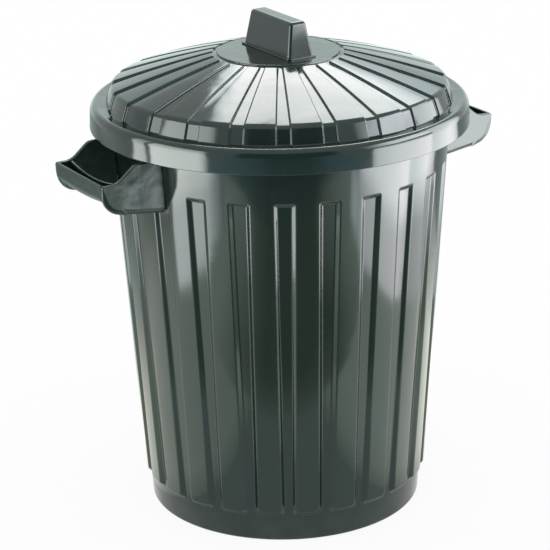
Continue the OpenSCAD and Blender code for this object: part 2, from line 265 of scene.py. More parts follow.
# Section of the lid from its middle to the end of its skirt, as (x, z) points.
def lidPath():
    land, shoulder = (lid["landR"], lid["landZ"]), lid["shoulder"]
    span = (shoulder[0] - land[0], shoulder[1] - land[1])
    length = math.hypot(*span)
    bend = math.degrees(4 * math.atan(2 * lid["swell"] / length))
    radius = length / (2 * math.sin(math.radians(bend / 2)))
    slope = math.degrees(math.atan2(-span[1], span[0]))
    outer, inner = slope + bend / 2, slope - bend / 2
    lean = math.radians(outer)
    middle = (shoulder[0] - radius * math.sin(lean), shoulder[1] - radius * math.cos(lean))
    knee = (shoulder[0] - lid["turn"] * math.sin(lean), shoulder[1] - lid["turn"] * math.cos(lean))
    dome = arcPoints(middle, radius, 90 - inner, 90 - outer, lid["domeSteps"])
    turn = arcPoints(knee, lid["turn"], 90 - outer, lid["step"], lid["turnSteps"])[1:]
    wallTop = turn[-1]
    drop = wallTop[1] - lid["flange"]
    foot = (wallTop[0] + drop * math.tan(math.radians(lid["step"])), lid["flange"])
    crest, edge = lid["crest"], lid["edge"]
    rim = [(crest[0] + edge[0] * math.sin(math.radians(a)), lid["edgeZ"] + edge[1] * math.cos(math.radians(a)))
           for a in range(0, 91, lid["edgeStep"])]
    flat = [(lid["flatStep"] * i, lid["discZ"]) for i in range(1, 4)]
    brink = [(crest[0] - lid["flangeEnd"], lid["flange"]),
             (crest[0] - lid["brink"][0], crest[1] - lid["brink"][1])]
    return ([(0, lid["discZ"])] + flat + [(lid["discR"], lid["discZ"])] + dome + turn + [foot]
            + brink + rim + [lid["skirt"]])


# Angle from the middle of the nearest channel.
def offChannel(angle):
    return (angle + lid["pitch"] / 2) % lid["pitch"] - lid["pitch"] / 2


def makeLid():
    points = lidPath()
    footR = next(r for r, z in points if abs(z - lid["flange"]) < slack / 10)
    piece = tracePath("lidShell", points)
    spinPath(piece, lid["around"], lid["seam"])
    turnOutward(piece, lambda centre, normal: normal.z > 0 if centre.z > lid["looksUp"] * mm
                else normal.xy.dot(centre.xy) > 0)
    openMesh(piece, "VERT")
    for side in (-1, 1):  # the channels are made a little narrower
        pickPoints(piece, lambda p: lid["landR"] - slack < polar(p)[0] < footR + slack and abs(
            offChannel(polar(p)[1] - side * lid["channel"])) < 3 * slack)
        bpy.ops.transform.rotate(value=math.radians(side * lid["narrow"]), orient_axis="Z",
                                 center_override=(0, 0, 0))
    pickFaces(piece, lambda c: lid["discR"] < polar(c)[0] < lid["landR"]
              or lid["landR"] < polar(c)[0] < footR - slack / 2 and c.z > (lid["flange"] + slack) * mm
              and abs(offChannel(polar(c)[1])) < lid["channel"])
    bpy.ops.mesh.inset(thickness=lid["draft"] * mm, depth=-lid["depth"] * mm, use_boundary=True,
                       use_even_offset=True)
    low, high = lid["channelFoot"]  # the sunk ends of the channels are put level with the flange
    pickPoints(piece, lambda p: low * mm < p.z < high * mm and polar(p)[0] < footR - 1)
    mesh = bmesh.from_edit_mesh(piece.data)
    sunk = [vert.co.z for vert in mesh.verts if vert.select]
    bpy.ops.transform.translate(value=(0, 0, lid["flange"] * mm - sum(sunk) / len(sunk)))
    closeMesh()
    slot = lid["slot"]
    cutters = [addBlock("slotCut", (0, side * slot["aside"], lid["discZ"]),
                        (slot["across"], slot["along"], slot["deep"])) for side in (-1, 1)]
    finishMesh(piece, lid["sharp"], wall=lid["wall"], bevel=lid["bevel"], cutters=cutters)
    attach(piece, "lid")
    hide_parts("lid")
    print("lid shell made,", len(piece.data.polygons), "faces")
    return piece


tub = {  # lengths in mm, angles in degrees
    "count": 24, "pitch": 15, "footR": 189.5, "neckR": 223.8, "neckZ": 524.8, "edge": 4.2,
    "columns": (2.1, 2.1, 3.3, 3.3, 2.1, 2.1), "neckLow": 520, "footHigh": 6,
    "start": 3.6, "landLow": 43, "channelTop": 478.5, "shortTop": 455, "face": 15, "corner": 5,
    "slope": 5, "depth": 6, "rise": 1.8, "under": 550.2, "rimR": 241.5, "lipZ": 539.2, "rimTurn": 4,
    "rimSteps": 5, "looksDown": 549,
    "shortChannels": (-15, 0, 15), "wall": 3, "bevel": 2.1, "sharp": 50, "cornerSteps": 4, "seam": 0.3,
    "foot": ((183.45, 2.47), (182.59, 1.17), (181.29, 0.3), (179.76, 0), (165.5, 0), (159.5, 5), (110, 5),
             (60, 5), (20, 5)),
    "slot": {"across": 4.4, "tall": 36.8, "low": 469.1, "aside": 63.2, "middle": 207, "deep": 30},
}


# Radius of the outer faces of the lands at a height.
def faceR(z):
    return tub["footR"] + (tub["neckR"] - tub["footR"]) * z / tub["neckZ"]


# One pitch of the wall and the rim, from the middle of a land to the next, with a channel that ends at top.
def makeTubSector(name, top):
    under, turn, neck, pitch = tub["under"], tub["rimTurn"], faceR(tub["under"]), tub["pitch"]
    levels = (tub["start"], tub["landLow"], tub["shortTop"], tub["channelTop"], tub["neckLow"], under - turn)
    walls = [(faceR(z), z) for z in levels]
    steps = tub["rimSteps"]
    rim = (arcPoints((neck + turn, under - turn), turn, 180, 90, steps)[1:]
           + arcPoints((tub["rimR"] - turn, under - turn), turn, 90, 0, steps) + [(tub["rimR"], tub["lipZ"])])
    piece = tracePath(name, walls + rim)
    openMesh(piece, "VERT")
    bpy.ops.mesh.select_all(action="SELECT")
    for angle in tub["columns"]:
        bpy.ops.mesh.spin(steps=1, angle=math.radians(angle), center=(0, 0, 0), axis=(0, 0, 1))
    closeMesh()
    piece.rotation_euler[2] = math.radians(pitch)  # the spins went to negative angles
    applyPlace()
    turnOutward(piece, lambda centre, normal: normal.xy.dot(centre.xy) > 0 and centre.z < tub["neckLow"] * mm
                or normal.z < 0 and tub["looksDown"] * mm < centre.z)
    openMesh(piece, "VERT")
    mesh = bmesh.from_edit_mesh(piece.data)
    for vert in mesh.verts:  # the edges of a land keep their distance, so their angle falls with height
        radius, angle, height = polar(vert.co)
        for edge, land, side in ((tub["edge"], 0, 1), (pitch - tub["edge"], pitch, -1)):
            if abs(angle - edge) < 2 * slack and height > tub["start"] + 1:
                true = land + side * math.degrees(math.asin(tub["face"] / faceR(min(height, top))))
                vert.co = Vector((radius * math.cos(math.radians(true)), radius * math.sin(math.radians(true)),
                                  height)) * mm
    bmesh.update_edit_mesh(piece.data)
    pickFaces(piece, lambda c: c.z / mm < top and (
        c.z / mm < tub["landLow"] or abs(polar(c)[1] - pitch / 2) < tub["columns"][2]))
    bpy.ops.mesh.inset(thickness=tub["slope"] * mm, depth=-tub["depth"] * mm, use_boundary=False,
                       use_even_offset=True)
    mesh = bmesh.from_edit_mesh(piece.data)
    for vert in mesh.verts:  # a channel is less deep at its top
        radius, _, height = polar(vert.co)
        if height > tub["neckLow"] / 2 and radius < faceR(height) - tub["depth"] / 2:
            vert.co.xy *= 1 + tub["rise"] / radius
    bmesh.update_edit_mesh(piece.data)

    def slanted(a, b):  # the two edges that go down and in from the lower corners of the lands
        lower, upper = sorted((polar(a), polar(b)), key=lambda p: p[2])
        return (abs(upper[2] - tub["landLow"]) < 3 * slack
                and tub["slope"] / 2 < upper[2] - lower[2] < tub["slope"] * 2
                and upper[0] - lower[0] > tub["depth"] / 2
                and abs(min(upper[1], pitch - upper[1]) - tub["edge"]) < 1)

    pickEdges(piece, slanted)
    bpy.ops.mesh.bevel(offset=tub["corner"] * mm, offset_type="OFFSET", segments=tub["cornerSteps"], affect="EDGES")
    closeMesh()
    return piece


# Copy with its own mesh, turned about the middle of the bin.
def copyTurned(source, name, angle):
    selectOnly(source)
    bpy.ops.object.duplicate(linked=False)
    copy = bpy.context.object
    copy.name = copy.data.name = name
    copy.rotation_euler[2] = math.radians(angle)
    applyPlace()
    return copy


def joinPieces(first, others):
    selectOnly(first)
    for piece in others:
        piece.select_set(True)
    bpy.ops.object.join()
    return first


def makeTub():
    longSector = makeTubSector("tubShell", tub["channelTop"])
    shortSector = makeTubSector("tubShort", tub["shortTop"])
    sectors = []
    for i in range(tub["count"]):
        angle = tub["pitch"] * i
        short = any(abs((angle - side - off + 180) % 360 - 180) < 1 for side in (0, 180)
                    for off in tub["shortChannels"])
        sectors.append(copyTurned(shortSector if short else longSector, "tubSector", angle - tub["pitch"] / 2))
    for spare in (longSector, shortSector):
        bpy.data.objects.remove(spare)
    piece = joinPieces(sectors[0], sectors[1:])
    piece.name = piece.data.name = "tubShell"
    openMesh(piece, "VERT")
    bpy.ops.mesh.select_all(action="SELECT")
    bpy.ops.mesh.remove_doubles(threshold=tub["seam"] * mm)
    pickParts(piece, "EDGE", lambda edge: edge.is_boundary
              and max(v.co.z for v in edge.verts) < tub["footHigh"] * mm)
    mesh = bmesh.from_edit_mesh(piece.data)
    radius, _, height = polar(next(vert.co for vert in mesh.verts if vert.select))
    for nextR, nextZ in tub["foot"]:
        bpy.ops.mesh.extrude_region_move(TRANSFORM_OT_translate={"value": (0, 0, (nextZ - height) * mm)})
        share = nextR / radius
        bpy.ops.transform.resize(value=(share, share, 1), center_override=(0, 0, 0))
        radius, height = nextR, nextZ
    bpy.ops.mesh.extrude_region_move(TRANSFORM_OT_translate={"value": (0, 0, 0)})
    bpy.ops.mesh.merge(type="CENTER")
    closeMesh()
    turnOutward(piece, lambda centre, normal: normal.xy.dot(centre.xy) > 0 and centre.z < tub["neckLow"] * mm
                or normal.z < 0 and centre.z < tub["footHigh"] * mm)
    slot = tub["slot"]
    cutters = [addBlock("slotCut", (x * slot["middle"], y * slot["aside"], slot["low"] + slot["tall"] / 2),
                        (slot["deep"], slot["across"], slot["tall"])) for x in (-1, 1) for y in (-1, 1)]
    finishMesh(piece, tub["sharp"], wall=tub["wall"], bevel=tub["bevel"], cutters=cutters)
    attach(piece, "tub")
    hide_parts("tub")
    print("tub shell made,", len(piece.data.polygons), "faces")
    return piece


knob = {  # lengths in mm, and after the radii of the ledge their steps
    "foot": 619.9, "ledge": (45, 120, 2), "ledgeRound": (6, 8), "ledgeEdge": (0.7, 3),
    "low": (38, 113), "high": (23.2, 100.2), "top": 666.4, "edge": 4.4, "edgeSteps": 6, "wall": 2.8,
    "hollowEdge": 1.6, "sink": 0.5,
    "rib": (3, 92), "ribUp": 4, "leg": (3, 12), "legUp": 9, "legY": 30, "legLow": 611.6, "sharp": 40,
    "catch": ((-1.5, 611.6), (1.5, 611.6), (3.1, 615.3), (3.1, 616.3), (-3.1, 616.3), (-3.1, 615.3)),
}


# Block with sloping sides, from low to high, with rounded edges except at its foot.
def addWedge(name, low, high, foot, top, edge):
    block = addBlock(name, (0, 0, (foot + top) / 2), (*low, top - foot))
    openMesh(block)
    pickFaces(block, lambda c: c.z > (top - slack) * mm)
    bpy.ops.transform.resize(value=(high[0] / low[0], high[1] / low[1], 1))
    pickEdges(block, lambda a, b: max(a.z, b.z) > (top - slack) * mm)
    bpy.ops.mesh.bevel(offset=edge * mm, segments=knob["edgeSteps"], affect="EDGES", offset_type="OFFSET")
    closeMesh()
    return block


def makeKnob():
    wide, long, thick = knob["ledge"]
    piece = addBlock("knobShell", (0, 0, knob["foot"] + thick / 2), (wide, long, thick))
    openMesh(piece)
    pickEdges(piece, lambda a, b: abs(a.z - b.z) > thick * mm / 2)
    radius, steps = knob["ledgeRound"]
    bpy.ops.mesh.bevel(offset=radius * mm, segments=steps, affect="EDGES")
    pickEdges(piece, lambda a, b: min(a.z, b.z) > (knob["foot"] + thick - slack) * mm)
    radius, steps = knob["ledgeEdge"]
    bpy.ops.mesh.bevel(offset=radius * mm, segments=steps, affect="EDGES")
    closeMesh()
    low, high, walls = knob["low"], knob["high"], 2 * knob["wall"]
    cutAway(piece, addWedge("knobBlock", low, high, knob["foot"] + thick - knob["sink"], knob["top"], knob["edge"]),
            "UNION")
    cutAway(piece, addWedge("knobHollow", [v - walls for v in low], [v - walls for v in high],
                            knob["foot"] - 1, knob["top"] - knob["wall"], knob["hollowEdge"]))
    ribLow, ribTop = knob["foot"] + knob["ribUp"], knob["top"] - knob["wall"] / 2
    cutAway(piece, addBlock("knobRib", (0, 0, (ribLow + ribTop) / 2), (*knob["rib"], ribTop - ribLow)), "UNION")
    for side in (-1, 1):
        middle = side * knob["legY"]
        legTop = knob["foot"] + knob["legUp"]
        leg = addBlock("knobLeg", (0, middle, (knob["legLow"] + legTop) / 2), (*knob["leg"], legTop - knob["legLow"]))
        cutAway(leg, sweepOutline("knobCatch", knob["catch"], middle - knob["leg"][1] / 2,
                                  middle + knob["leg"][1] / 2), "UNION")
        cutAway(piece, leg, "UNION")
    finishMesh(piece, knob["sharp"])
    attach(piece, "lid")
    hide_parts("knob")
    print("knob made,", len(piece.data.polygons), "faces")
    return piece


handle = {  # lengths in mm
    "arm": ((190, 449.5, 0), (269, 460, 40), (298, 461.5, 29), (298, 501.5, 3.4), (276, 501.5, 24),
            (251, 522.5, 14), (190, 522, 0)),
    "armOut": 66.2, "armIn": 60.2, "armEdge": 1.4, "armSoft": (8, 3.4), "softStart": 3, "softOver": 16,
    "innerRows": (90, 60, 30, 0), "outerRows": (0, 12, 25, 38, 52, 66, 78, 90), "cornerSteps": 10,
    "play": 0.3, "groove": 1.3, "core": {"z": (456, 519), "middle": 213, "long": 26, "inset": 1.2},
    "cone": (430, 545), "coneSteps": 288, "sharp": 35,
    "grip": ((298, 479, 6), (298, 501.5, 1.6), (294.4, 501.5, 1.6), (294.4, 482.6, 2), (278.9, 482.6, 2),
             (278.9, 501.5, 1.6), (275.3, 501.5, 1.6), (275.3, 479, 5)),
    "gripHalf": 60.7, "gripSteps": 24, "gripTurn": 5, "gripRound": 6, "bow": 4, "dip": 7,
    "clip": {"in": 197, "out": 218, "thick": 3.6, "low": 469.5, "tall": 36, "catch": 2.6, "nose": 6.5},
}


# Cone that follows the outside of the tub, moved out by play.
def addCone(name, play):
    low, high = handle["cone"]
    return addPiece(name, bpy.ops.mesh.primitive_cone_add, vertices=handle["coneSteps"], depth=(high - low) * mm,
                    radius1=(faceR(low) + play) * mm, radius2=(faceR(high) + play) * mm,
                    location=(0, 0, (low + high) / 2 * mm))


# The edges of an arm are drawn in row by row: round inside, and wide and soft below on its outer face.
def makeArm(name, side):
    outline = [Vector(point) for point in roundCorners(handle["arm"], handle["cornerSteps"])]
    inner, outer, top = handle["armIn"], handle["armOut"], handle["arm"][3][1]
    edge, (softWide, softDeep) = handle["armEdge"], handle["armSoft"]
    rows = [(-1, angle) for angle in handle["innerRows"]] + [(1, angle) for angle in handle["outerRows"]]
    arm = sweepOutline(name, outline, 0, len(rows) - 1, len(rows) - 1)
    inward = []
    for i, point in enumerate(outline):
        before, after = point - outline[i - 1], outline[(i + 1) % len(outline)] - point
        if i == 0:
            before = after
        if i == len(outline) - 1:
            after = before
        along = before.normalized() + after.normalized()
        inward.append(Vector((-along.y, along.x)).normalized())
    for vert in arm.data.vertices:
        place = Vector((vert.co.x, vert.co.z)) / mm
        i = min(range(len(outline)), key=lambda k: (outline[k] - place).length)
        face, angle = rows[round(vert.co.y / mm)]
        angle = math.radians(angle)
        soft = 0
        if face > 0 and inward[i].y > -0.3:  # not along the top
            soft = min(max((top - handle["softStart"] - place.y) / handle["softOver"], 0), 1)
        wide, deep = edge + (softWide - edge) * soft, edge + (softDeep - edge) * soft
        spot = outline[i] + inward[i] * wide * (1 - math.cos(angle))
        level = outer - deep * (1 - math.sin(angle)) if face > 0 else inner + deep * (1 - math.sin(angle))
        vert.co = Vector((spot.x, side * level, spot.y)) * mm
    openMesh(arm)
    bpy.ops.mesh.select_all(action="SELECT")
    bpy.ops.mesh.normals_make_consistent(inside=False)
    closeMesh()
    cutAway(arm, addCone("coneCut", handle["groove"]))
    core, (low, high) = handle["core"], handle["core"]["z"]
    core = addBlock("armCore", (core["middle"], side * (inner + outer) / 2, (low + high) / 2),
                    (core["long"], outer - inner - 2 * core["inset"], high - low))
    cutAway(core, addCone("coneCut", handle["play"]))
    cutAway(arm, core, "UNION")
    return arm


# Open channel between the arms: its inner wall dips and its floor bows in the middle.
def makeGrip(name):
    half, turn = handle["gripHalf"], handle["gripRound"]
    grip = sweepOutline(name, roundCorners(handle["grip"], handle["gripTurn"]), -half, half, handle["gripSteps"])
    openMesh(grip, "VERT")
    mesh = bmesh.from_edit_mesh(grip.data)
    low, top, inner = handle["grip"][0][1], handle["grip"][1][1], handle["grip"][5][0]
    for vert in mesh.verts:
        x, y, z = (v / mm for v in vert.co)
        share = 1 - (y / half) ** 2
        if z > top - 2 and x < inner + slack:
            vert.co.z -= handle["dip"] * share * mm
        else:
            vert.co.z -= handle["bow"] * share * min(max((low + turn - z) / turn, 0), 1) * mm
    bmesh.update_edit_mesh(grip.data)
    closeMesh()
    return grip


# Bar through the slot of the tub, with a nose that tapers and catches inside the wall.
def makeClip(name, middle):
    clip = handle["clip"]
    place = ((clip["in"] + clip["out"]) / 2, middle, clip["low"] + clip["tall"] / 2)
    long, thick, tall = clip["out"] - clip["in"], clip["thick"], clip["tall"]
    hook = addBlock(name, place, (long, thick + 2 * clip["catch"], tall))
    openMesh(hook, "VERT")
    bpy.ops.mesh.select_all(action="SELECT")
    bpy.ops.mesh.bisect(plane_co=((clip["in"] + clip["nose"]) * mm, 0, 0), plane_no=(1, 0, 0))
    pickPoints(hook, lambda p: p.x < (clip["in"] + slack) * mm)
    bpy.ops.transform.resize(value=(1, thick / (thick + 2 * clip["catch"]), 1), center_override=(0, middle * mm, 0))
    closeMesh()
    cutAway(hook, addCone("coneKeep", -tub["wall"] - handle["play"]), "INTERSECT")
    cutAway(hook, addBlock("clipBar", place, (long, thick, tall)), "UNION")
    return hook


def makeHandles():
    right = makeGrip("handleRight")
    for side in (-1, 1):
        cutAway(right, makeArm("arm", side), "UNION")
        cutAway(right, makeClip("clip", side * (handle["armIn"] + handle["armOut"]) / 2), "UNION")
    finishMesh(right, handle["sharp"])
    left = copyTurned(right, "handleLeft", 180)
    for piece, node in ((right, "handle_right"), (left, "handle_left")):
        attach(piece, "tub")
        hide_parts(node)
    print("handles made,", len(right.data.polygons), "faces each")
    return [right, left]


# Places in the studio are (right, back, up) as the camera sees them, in metres. Only reflections see the
# panels: each goes from its edge brightness and tone to its inner ones by two ramps, across and up.
fullRamp = ((0, 1), (1, 1))
studio = {
    "floorSize": 30, "floorTone": 0.97, "floorRough": 0.9, "paperShare": 0.9, "room": 1.0,
    "panels": {
        "softboxLeftFront": {
            "centre": (-0.731, -0.548, 0.535), "size": (0.575, 0.73), "turn": -75, "inner": 12.2, "edge": 1,
            "across": ((0, 1), (0.84, 1), (0.94, 0.7), (1, 0.3)),
            "up": ((0, 0.62), (0.09, 1), (0.5, 0.9), (0.75, 0.6), (1, 0.45)), "tone": (1.14, 1, 0.96)},
        "softboxLeftFoot": {
            "centre": (-0.7405, -0.584, 0.095), "size": (0.65, 0.15), "turn": -75, "inner": 7.4, "edge": 1,
            "across": ((0, 1), (0.51, 1), (0.66, 0.85), (0.78, 0.5), (0.9, 0.25), (1, 0)), "up": fullRamp,
            "tone": (1.08, 1, 1)},
        "softboxLeftBack": {
            "centre": (-0.8525, -0.159, 0.54), "size": (0.14, 0.80), "turn": -75, "inner": 8, "edge": 1,
            "across": ((0, 0.9), (0.2, 1), (1, 1)), "up": ((0, 0.06), (0.1, 0.5), (0.25, 1), (1, 0.3)),
            "tone": (1.12, 1, 0.98)},
        "softboxRightFront": {
            "centre": (0.762, -0.36, 0.345), "size": (0.62, 0.63), "turn": 92, "inner": 12, "edge": 1,
            "across": ((0, 0.5), (0.12, 0.8), (0.4, 1), (1, 1)),
            "up": ((0, 0.5), (0.187, 0.55), (0.27, 1), (0.72, 1), (0.8, 0.4), (0.85, 0.35), (0.91, 0), (1, 0)),
            "tone": (1.14, 1, 1.03)},
        "softboxRightFoot": {
            "centre": (0.775, -0.755, 0.09), "size": (0.16, 0.12), "turn": 92, "inner": 5.4, "edge": 1,
            "across": ((0, 0), (0.4, 0.8), (1, 1)), "up": ((0, 1), (0.8, 1), (1, 0.3)), "tone": (1.07, 1, 1.02)},
        "softboxRightBack": {
            "centre": (0.744, 0.165, 0.54), "size": (0.43, 1.02), "turn": 92, "inner": 8.5, "edge": 1,
            "across": ((0, 1), (0.6, 0.85), (1, 0.25)), "up": ((0, 0.25), (0.14, 0.34), (0.22, 1), (1, 0.9)),
            "tone": (1.05, 1, 1.03)},
        "softboxRightUpper": {
            "centre": (0.764, -0.40, 0.86), "size": (0.70, 0.40), "turn": 92, "inner": 12.5, "edge": 1,
            "across": ((0, 0.1), (0.25, 0.4), (0.5, 1), (1, 1)), "up": ((0, 0.75), (0.2, 1), (1, 0.8)),
            "tone": (1.13, 1, 1.05)},
        "softboxOver": {
            "centre": (0.225, 1.48, 1.80), "size": (1.27, 1.40), "turn": 175, "tilt": 44, "inner": 9.2, "edge": 1.6,
            "across": ((0, 0.6), (0.19, 0.87), (0.5, 1), (0.9, 1), (0.967, 0.6), (1, 0.3)),
            "up": ((0, 0.1), (0.22, 0.2), (0.42, 0.9), (0.6, 1), (1, 1)), "tone": (1.07, 1, 0.99),
            "edgeTone": (0.86, 1, 1.04)},
        "floorFar": {
            "centre": (0.15, -2.4, 0.004), "size": (3.6, 2.5), "tilt": 90, "turn": 0, "inner": 0.25, "edge": 1,
            "across": ((0, 0), (0.28, 0.6), (0.42, 1), (0.68, 1), (0.82, 0.4), (1, 0)),
            "up": fullRamp, "tone": (0.75, 1, 1.2)},
        "floorNear": {
            "centre": (0.15, -0.825, 0.004), "size": (3.6, 0.65), "tilt": 90, "turn": 0, "inner": 0.3, "edge": 2.0,
            "across": ((0, 0), (0.30, 0), (0.38, 0.8), (0.42, 1), (0.57, 1), (0.64, 0.35), (0.7, 0), (1, 0)),
            "up": ((0, 1), (0.8, 1), (1, 0.7)), "tone": (0.99, 1, 0.89)},
        "floorLeft": {
            "centre": (-0.7, -0.25, 0.003), "size": (1.0, 1.3), "tilt": 90, "turn": 0, "inner": 2.0, "edge": 1,
            "across": ((0, 0), (0.3, 1), (0.93, 0.9), (1, 0.3)), "up": ((0, 0), (0.2, 1), (0.8, 1), (1, 0)),
            "tone": (1, 1, 0.89)},
        "floorRight": {
            "centre": (0.81, -0.05, 0.003), "size": (1.18, 1.7), "tilt": 90, "turn": 0, "inner": 2.2, "edge": 1,
            "across": ((0, 0.2), (0.05, 0.8), (0.12, 1), (0.8, 1), (1, 0)),
            "up": ((0, 0), (0.2, 1), (0.8, 1), (1, 0)), "tone": (1, 1, 0.9)},
        "floorBackLeft": {
            "centre": (-1.15, 1.55, 0.003), "size": (1.7, 2.2), "tilt": 90, "turn": 0, "inner": 0.55, "edge": 1,
            "across": ((0, 0), (0.2, 1), (0.85, 1), (1, 0)), "up": ((0, 0), (0.15, 1), (0.8, 1), (1, 0)),
            "tone": (0.84, 1, 0.95)},
        "floorBackRight": {
            "centre": (1.1, 1.55, 0.003), "size": (1.7, 2.2), "tilt": 90, "turn": 0, "inner": 0.55, "edge": 1,
            "across": ((0, 0), (0.15, 1), (0.8, 1), (1, 0)), "up": ((0, 0), (0.15, 1), (0.8, 1), (1, 0)),
            "tone": (0.86, 1, 1)},
        "backGlow": {
            "centre": (0, 3.2, 1.3), "size": (6, 2.5), "turn": 180, "inner": 1.36, "edge": 1,
            "across": ((0, 0), (0.25, 1), (0.75, 1), (1, 0)), "up": fullRamp, "tone": (0.86, 1, 0.98)},
        "backWall": {
            "centre": (0.35, -3.6, 1.7), "size": (4.5, 3.4), "turn": 0, "inner": 0.16, "edge": 1,
            "across": ((0, 0), (0.1, 1), (0.88, 1), (1, 0)), "up": ((0, 1), (0.8, 1), (1, 0)),
            "tone": (0.8, 1, 1.15)},
    },
}


def addRamp(tree, value, stops):
    ramp = tree.nodes.new("ShaderNodeValToRGB")
    while len(ramp.color_ramp.elements) < len(stops):
        ramp.color_ramp.elements.new(1)
    for element, (place, level) in zip(ramp.color_ramp.elements, stops):
        element.position, element.color = place, (level, level, level, 1)
    tree.links.new(value, ramp.inputs["Fac"])
    return ramp.outputs["Color"]


def joinMath(tree, operation, *values):
    step = tree.nodes.new("ShaderNodeMath")
    step.operation = operation
    for socket, value in zip(step.inputs, values):
        if isinstance(value, (int, float)):
            socket.default_value = value
        else:
            tree.links.new(value, socket)
    return step.outputs[0]


# Mix of two colours, each a tuple or a socket, by a share.
def mixTones(tree, share, first, second):
    mix = tree.nodes.new("ShaderNodeMix")
    mix.data_type = "RGBA"
    tree.links.new(share, mix.inputs["Factor"])
    for socket, value in zip(mix.inputs[6:8], (first, second)):  # the pair of sockets for colours
        if isinstance(value, tuple):
            socket.default_value = (*value, 1)
        else:
            tree.links.new(value, socket)
    return mix.outputs[2]


# A panel faces the way it is turned, and upward by its tilt.
def addPanel(name, centre, size, turn, inner, edge, across, up, tilt=0, tone=(1, 1, 1), edgeTone=None):
    panel = addPiece(name, bpy.ops.mesh.primitive_plane_add, size=1)
    angle, rise = math.radians(turn), math.radians(tilt)
    away = Vector((math.sin(angle) * math.cos(rise), -math.cos(angle) * math.cos(rise), math.sin(rise)))
    if tilt == 90:
        stand = Matrix.Identity(4)
    else:
        stand = away.to_track_quat("Z", "Y").to_matrix().to_4x4()
    panel.matrix_world = facePhoto @ Matrix.Translation(centre) @ stand @ Matrix.Diagonal((*size, 1, 1))
    paint = bpy.data.materials.new(name + "Glow")
    paint.use_nodes = True
    tree = paint.node_tree
    place = tree.nodes.new("ShaderNodeTexCoord")
    axes = tree.nodes.new("ShaderNodeSeparateXYZ")
    tree.links.new(place.outputs["Object"], axes.inputs[0])
    share = joinMath(tree, "MULTIPLY",
                     addRamp(tree, joinMath(tree, "ADD", axes.outputs[0], 0.5), across),
                     addRamp(tree, joinMath(tree, "ADD", axes.outputs[1], 0.5), up))
    level = joinMath(tree, "MULTIPLY_ADD", share, inner - edge, edge)
    glow = tree.nodes.new("ShaderNodeEmission")
    tree.links.new(mixTones(tree, share, edgeTone or tone, tone), glow.inputs["Color"])
    tree.links.new(level, glow.inputs["Strength"])
    tree.links.new(glow.outputs["Emission"], tree.nodes["Material Output"].inputs["Surface"])
    panel.data.materials.append(paint)
    panel.visible_camera = panel.visible_diffuse = panel.visible_shadow = panel.visible_transmission = False


def layFloor():
    floor = addPiece("floor", bpy.ops.mesh.primitive_plane_add, size=studio["floorSize"])
    paint = bpy.data.materials.new("floorPaper")
    paint.use_nodes = True
    tree = paint.node_tree
    shader = tree.nodes["Principled BSDF"]
    tone = studio["floorTone"]
    shader.inputs["Base Color"].default_value = (tone, tone, tone, 1)
    shader.inputs["Roughness"].default_value = studio["floorRough"]
    shader.inputs["Specular IOR Level"].default_value = 0
    white = tree.nodes.new("ShaderNodeEmission")  # white for the camera and in reflections, with part of the shadow
    path = tree.nodes.new("ShaderNodeLightPath")
    either = joinMath(tree, "MAXIMUM", path.outputs["Is Camera Ray"], path.outputs["Is Glossy Ray"])
    either = joinMath(tree, "MAXIMUM", either, path.outputs["Is Transmission Ray"])
    blend = tree.nodes.new("ShaderNodeMixShader")
    link = tree.links.new
    link(joinMath(tree, "MULTIPLY", either, studio["paperShare"]), blend.inputs["Fac"])
    link(shader.outputs["BSDF"], blend.inputs[1])
    link(white.outputs["Emission"], blend.inputs[2])
    link(blend.outputs["Shader"], tree.nodes["Material Output"].inputs["Surface"])
    floor.data.materials.append(paint)


def buildStudio():
    world = bpy.data.worlds.new("room")
    world.use_nodes = True
    world.node_tree.nodes["Background"].inputs["Color"].default_value = (1, 1, 1, 1)
    world.node_tree.nodes["Background"].inputs["Strength"].default_value = studio["room"]
    scene.world = world
    layFloor()
    for name, panel in studio["panels"].items():
        addPanel(name, **panel)
    print("studio built")


